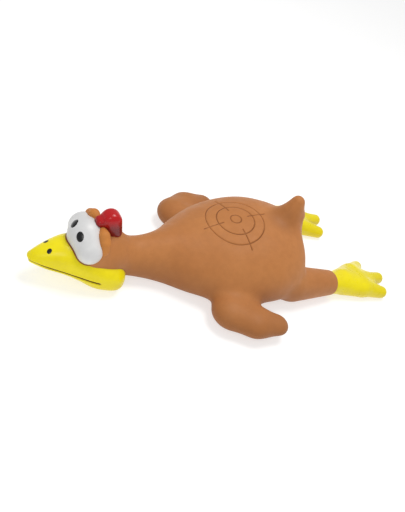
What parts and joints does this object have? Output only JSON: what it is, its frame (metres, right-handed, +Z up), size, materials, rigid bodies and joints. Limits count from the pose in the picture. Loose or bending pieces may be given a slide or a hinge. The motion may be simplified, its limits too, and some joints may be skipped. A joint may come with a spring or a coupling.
{
  "type": "rubber chicken",
  "caption": "Squeaky rubber chicken prop lying flat on its belly, with a soft target panel in its back, bendy neck, turning head, flapping wings, swinging legs, bending feet and tail.",
  "frame": {"origin": "centre of the bounding box in plan, on the surface the toy lies on", "axes": "+X towards the beak, +Y to the chicken's left, +Z up through its back"},
  "size_m": [0.2962, 0.1508, 0.0698],
  "materials": {
    "tan_rubber": "matt moulded latex",
    "lid_rubber": "matt moulded latex, a little redder",
    "yellow_gloss": "glossy painted latex",
    "white_gloss": "glossy painted latex",
    "red_gloss": "glossy painted latex",
    "black_paint": "glossy paint spot",
    "squeaker_plastic": "moulded plastic",
    "reed_metal": "thin springy strip"
  },
  "bodies": {
    "torso": {"torso_skin": "tan_rubber", "squeaker_body": "squeaker_plastic", "squeaker_cap": "squeaker_plastic"},
    "back": {"back_panel": "tan_rubber"},
    "neck": {"neck_skin": "tan_rubber"},
    "head": {"head_skin": "tan_rubber", "bill": "yellow_gloss", "left_nostril": "black_paint", "right_nostril": "black_paint", "eyes": "white_gloss", "left_pupil": "black_paint", "right_pupil": "black_paint", "left_eyelid": "lid_rubber", "right_eyelid": "lid_rubber", "comb": "red_gloss"},
    "left_wing": {"left_wing": "tan_rubber"},
    "right_wing": {"right_wing": "tan_rubber"},
    "left_leg": {"left_leg": "tan_rubber"},
    "right_leg": {"right_leg": "tan_rubber"},
    "left_foot": {"left_foot": "yellow_gloss"},
    "right_foot": {"right_foot": "yellow_gloss"},
    "tail": {"tail": "tan_rubber"},
    "reed": {"squeaker_reed": "reed_metal"}
  },
  "joints": [
    {"name": "back_press", "type": "slide", "parent": "torso", "child": "back", "axis": [0, 0, -1], "range_m": [0, 0.01], "stiffness_N_per_m": 600},
    {"name": "neck_bend", "type": "hinge", "parent": "torso", "child": "neck", "pos_m": [0.05466, 0, 0.0172], "axis": [0, -1, 0], "range_deg": [-25, 35], "stiffness_Nm_per_rad": 3},
    {"name": "head_turn", "type": "hinge", "parent": "neck", "child": "head", "pos_m": [0.07466, 0, 0.0166], "axis": [0, 0, 1], "range_deg": [-35, 35], "stiffness_Nm_per_rad": 1},
    {"name": "left_wing_flap", "type": "hinge", "parent": "torso", "child": "left_wing", "pos_m": [0.00802, 0.04473, 0.0106], "axis": [0.9771, -0.2129, 0], "range_deg": [-25, 35], "stiffness_Nm_per_rad": 0.4},
    {"name": "right_wing_flap", "type": "hinge", "parent": "torso", "child": "right_wing", "pos_m": [0.00802, -0.04473, 0.0106], "axis": [-0.9771, -0.2129, 0], "range_deg": [-25, 35], "stiffness_Nm_per_rad": 0.4},
    {"name": "left_leg_swing", "type": "hinge", "parent": "torso", "child": "left_leg", "pos_m": [-0.04684, 0.03184, 0.0144], "axis": [-0.0698, 0.9976, 0], "range_deg": [-40, 20], "stiffness_Nm_per_rad": 1},
    {"name": "right_leg_swing", "type": "hinge", "parent": "torso", "child": "right_leg", "pos_m": [-0.04034, -0.03687, 0.0144], "axis": [-0.5, 0.866, 0], "range_deg": [-40, 20], "stiffness_Nm_per_rad": 1},
    {"name": "left_foot_bend", "type": "hinge", "parent": "left_leg", "child": "left_foot", "pos_m": [-0.08374, 0.02926, 0.0105], "axis": [-0.1392, 0.9903, 0], "range_deg": [-35, 35], "stiffness_Nm_per_rad": 0.4},
    {"name": "right_foot_bend", "type": "hinge", "parent": "right_leg", "child": "right_foot", "pos_m": [-0.06372, -0.05037, 0.0105], "axis": [-0.0523, 0.9986, 0], "range_deg": [-35, 35], "stiffness_Nm_per_rad": 0.4},
    {"name": "tail_bend", "type": "hinge", "parent": "torso", "child": "tail", "pos_m": [-0.03884, 0, 0.04592], "axis": [0, 1, 0], "range_deg": [-20, 20], "stiffness_Nm_per_rad": 0.2},
    {"name": "reed_swing", "type": "hinge", "parent": "torso", "child": "reed", "pos_m": [-0.01001, 0, 0.00615], "axis": [0, -1, 0], "range_deg": [-6, 6], "stiffness_Nm_per_rad": 0.0005}
  ]
}
